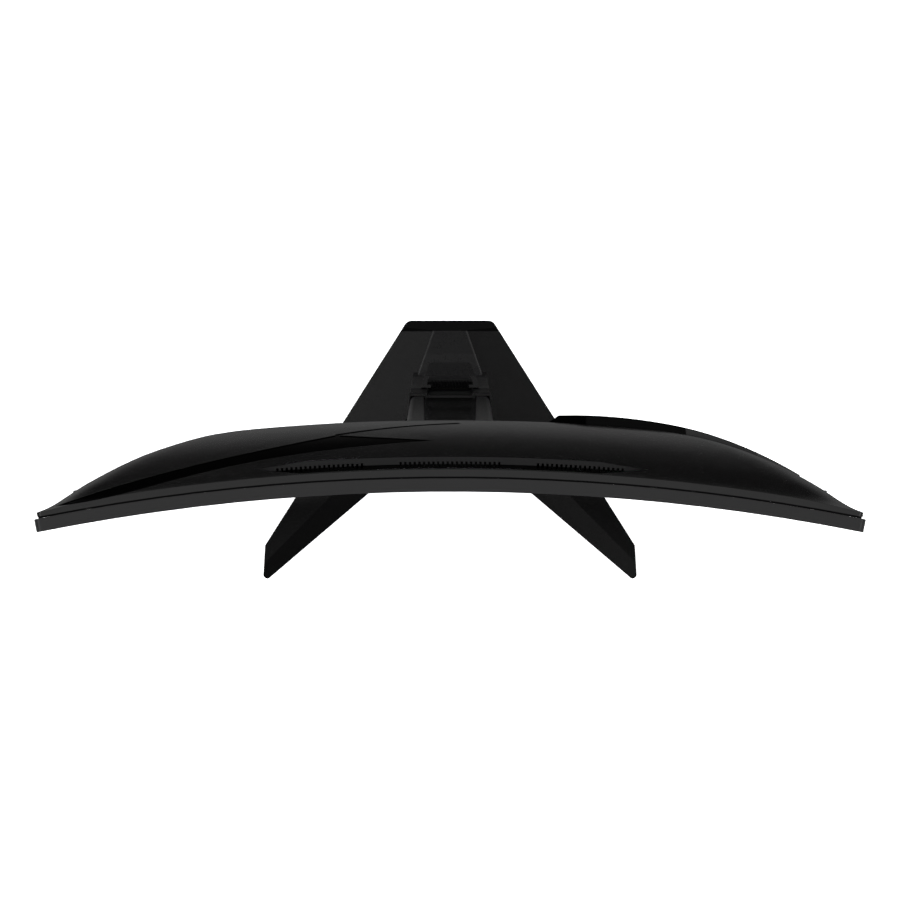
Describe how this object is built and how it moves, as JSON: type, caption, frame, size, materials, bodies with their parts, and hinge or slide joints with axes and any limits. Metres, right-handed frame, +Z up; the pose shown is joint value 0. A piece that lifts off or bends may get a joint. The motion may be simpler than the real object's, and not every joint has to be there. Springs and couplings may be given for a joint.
{
  "type": "computer monitor",
  "caption": "Curved widescreen monitor with a sculpted rear cover, on a tilting and height-adjustable neck with a V-shaped foot.",
  "frame": {"origin": "on the desk, under the middle of the whole object", "axes": "+X to the viewer's right along the screen, +Y to the rear, +Z up; the screen faces -Y"},
  "size_m": [0.709, 0.2199, 0.512],
  "materials": {
    "frame_plastic": "fine satin moulding",
    "chin_plastic": "satin with fine grain",
    "inner_frame": "plain black",
    "screen": "anti-glare surface, switched off",
    "film": "white sheet",
    "acrylic": "clear polished sheet",
    "circuit_board": "solder mask",
    "zinc_steel": "zinc plated sheet",
    "cover_plastic": "textured black moulding",
    "vent_plastic": "textured black moulding",
    "accent_gloss": "piano black",
    "socket_metal": "nickel plated",
    "socket_plastic": "black",
    "speaker_plastic": "black box",
    "key_plastic": "semi-gloss",
    "mechanism_plastic": "grey acetal",
    "light_pipe": "clear",
    "screw_steel": "black zinc",
    "hinge_paint": "satin black powder coat",
    "hinge_steel": "turned steel",
    "neck_plastic": "satin black moulding",
    "neck_gloss": "piano black",
    "guide_plastic": "semi-gloss black",
    "strut_paint": "black paint",
    "strut_rod": "hard chrome",
    "foot_plastic": "fine textured black",
    "plate_steel": "black paint",
    "foot_rubber": "black rubber"
  },
  "bodies": {
    "stand": {"neck_sleeve": "neck_plastic", "neck_back_panel": "neck_gloss", "guide_rails": "zinc_steel", "gas_strut_cylinder": "strut_paint", "neck_shroud": "neck_plastic", "shroud_rib_pad": "foot_rubber", "cable_guide": "guide_plastic", "base_cover": "foot_plastic", "base_plate": "plate_steel", "foot_spine": "neck_plastic", "rubber_feet": "foot_rubber", "column_core": "plate_steel", "base_screws": "screw_steel"},
    "lift_carriage": {"slider": "hinge_paint", "slider_cover": "neck_plastic", "glide_pads": "mechanism_plastic", "hinge_shaft": "hinge_steel", "hinge_nuts_and_washers": "hinge_steel", "hinge_caps": "neck_plastic", "gas_strut_rod": "strut_rod"},
    "display": {"front_bezel": "frame_plastic", "chin_trim": "chin_plastic", "mid_frame": "inner_frame", "lcd_cell": "screen", "optical_films": "film", "light_guide_plate": "acrylic", "reflector_sheet": "film", "led_bar": "circuit_board", "backlight_chassis": "zinc_steel", "power_light_pipe": "light_pipe", "rear_cover": "cover_plastic", "vent_grille": "vent_plastic", "accent_wedge": "accent_gloss", "accent_fin": "accent_gloss", "wing_end": "cover_plastic", "mount_plate": "zinc_steel", "main_board": "circuit_board", "power_board": "circuit_board", "tcon_board": "circuit_board", "shield_can": "zinc_steel", "io_bracket": "zinc_steel", "data_sockets": "socket_metal", "audio_jack": "socket_plastic", "dc_inlet": "socket_plastic", "lock_slot_plate": "zinc_steel", "loudspeakers": "speaker_plastic", "key_board": "circuit_board", "joystick_housing": "inner_frame", "rear_cover_screws": "screw_steel", "tilt_bracket": "hinge_paint", "bracket_screws": "screw_steel"},
    "release_catch": {"release_button": "key_plastic"},
    "power_key": {"power_button": "key_plastic"},
    "key_1": {"menu_key_1": "key_plastic"},
    "key_2": {"menu_key_2": "key_plastic"},
    "key_3": {"menu_key_3": "key_plastic"},
    "stick_gimbal": {"joystick_ring": "mechanism_plastic"},
    "stick_sleeve": {"joystick_spindle": "mechanism_plastic"},
    "stick_cap": {"joystick_cap": "key_plastic"},
    "neck_screw": {"thumb_screw": "screw_steel"}
  },
  "joints": [
    {"name": "lift", "type": "slide", "parent": "stand", "child": "lift_carriage", "axis": [0, -0.1392, 0.9903], "range_m": [-0.045, 0.065]},
    {"name": "tilt", "type": "hinge", "parent": "lift_carriage", "child": "display", "pos_m": [0, 0.00954, 0.30075], "axis": [-1, 0, 0], "range_deg": [-5, 20]},
    {"name": "release_slide", "type": "slide", "parent": "display", "child": "release_catch", "axis": [0, 0, 1], "range_m": [0, 0.0032], "stiffness_N_per_m": 600, "springref_m": -0.0015},
    {"name": "power_press", "type": "slide", "parent": "display", "child": "power_key", "axis": [-0.1649, -0.9863, 0], "range_m": [0, 0.0008], "stiffness_N_per_m": 1500, "springref_m": -0.0003},
    {"name": "key_1_press", "type": "slide", "parent": "display", "child": "key_1", "axis": [-0.1648, -0.9863, 0], "range_m": [0, 0.0008], "stiffness_N_per_m": 1500, "springref_m": -0.0003},
    {"name": "key_2_press", "type": "slide", "parent": "display", "child": "key_2", "axis": [-0.1648, -0.9863, 0], "range_m": [0, 0.0008], "stiffness_N_per_m": 1500, "springref_m": -0.0003},
    {"name": "key_3_press", "type": "slide", "parent": "display", "child": "key_3", "axis": [-0.1648, -0.9863, 0], "range_m": [0, 0.0008], "stiffness_N_per_m": 1500, "springref_m": -0.0003},
    {"name": "stick_up_down", "type": "hinge", "parent": "display", "child": "stick_gimbal", "pos_m": [0.3, -0.04324, 0.17], "axis": [0.9863, -0.1651, 0], "range_deg": [-8, 8], "stiffness_Nm_per_rad": 0.06},
    {"name": "stick_left_right", "type": "hinge", "parent": "stick_gimbal", "child": "stick_sleeve", "pos_m": [0.3, -0.04324, 0.17], "axis": [0, 0, 1], "range_deg": [-8, 8], "stiffness_Nm_per_rad": 0.06},
    {"name": "stick_press", "type": "slide", "parent": "stick_sleeve", "child": "stick_cap", "axis": [-0.1651, -0.9863, 0], "range_m": [0, 0.0008], "stiffness_N_per_m": 1500, "springref_m": -0.0003},
    {"name": "neck_screw_turn", "type": "hinge", "parent": "stand", "child": "neck_screw", "pos_m": [0, 0.044, 0.001], "axis": [0, 0, 1], "range_deg": [-180, 180]}
  ]
}
